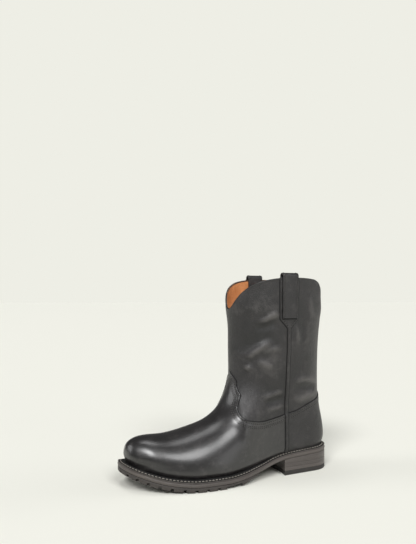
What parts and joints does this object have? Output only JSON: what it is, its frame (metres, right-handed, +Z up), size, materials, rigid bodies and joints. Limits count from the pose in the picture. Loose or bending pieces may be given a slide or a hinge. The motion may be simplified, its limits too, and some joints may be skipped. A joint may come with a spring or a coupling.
{
  "type": "roper boot",
  "caption": "Left pull-on leather boot: hollow upper with a tall shaft, a dipped collar and pull straps at the sides, on a stacked heel and a lugged forefoot sole.",
  "frame": {"origin": "centre of the heel's face on the floor", "axes": "+X from heel to toe, +Y to the wearer's left, which is the outer side of this left boot, +Z up"},
  "size_m": [0.3051, 0.1114, 0.2787],
  "materials": {
    "upper_leather": "smooth black leather with a satin shine",
    "strap_leather": "smooth black leather",
    "insole_leather": "matt tan",
    "sole_leather": "edge-dyed brown black stacked leather",
    "sole_rubber": "matt dark rubber"
  },
  "bodies": {
    "root": {"upper": "upper_leather", "side_seam_lateral": "strap_leather", "side_seam_medial": "strap_leather", "pull_strap_lateral": "strap_leather", "pull_strap_medial": "strap_leather", "insole": "insole_leather", "welt": "sole_leather", "midsole": "sole_leather", "outsole": "sole_rubber", "heel_lift_1": "sole_leather", "heel_lift_2": "sole_leather", "heel_lift_3": "sole_leather", "top_lift": "sole_rubber"}
  },
  "joints": []
}
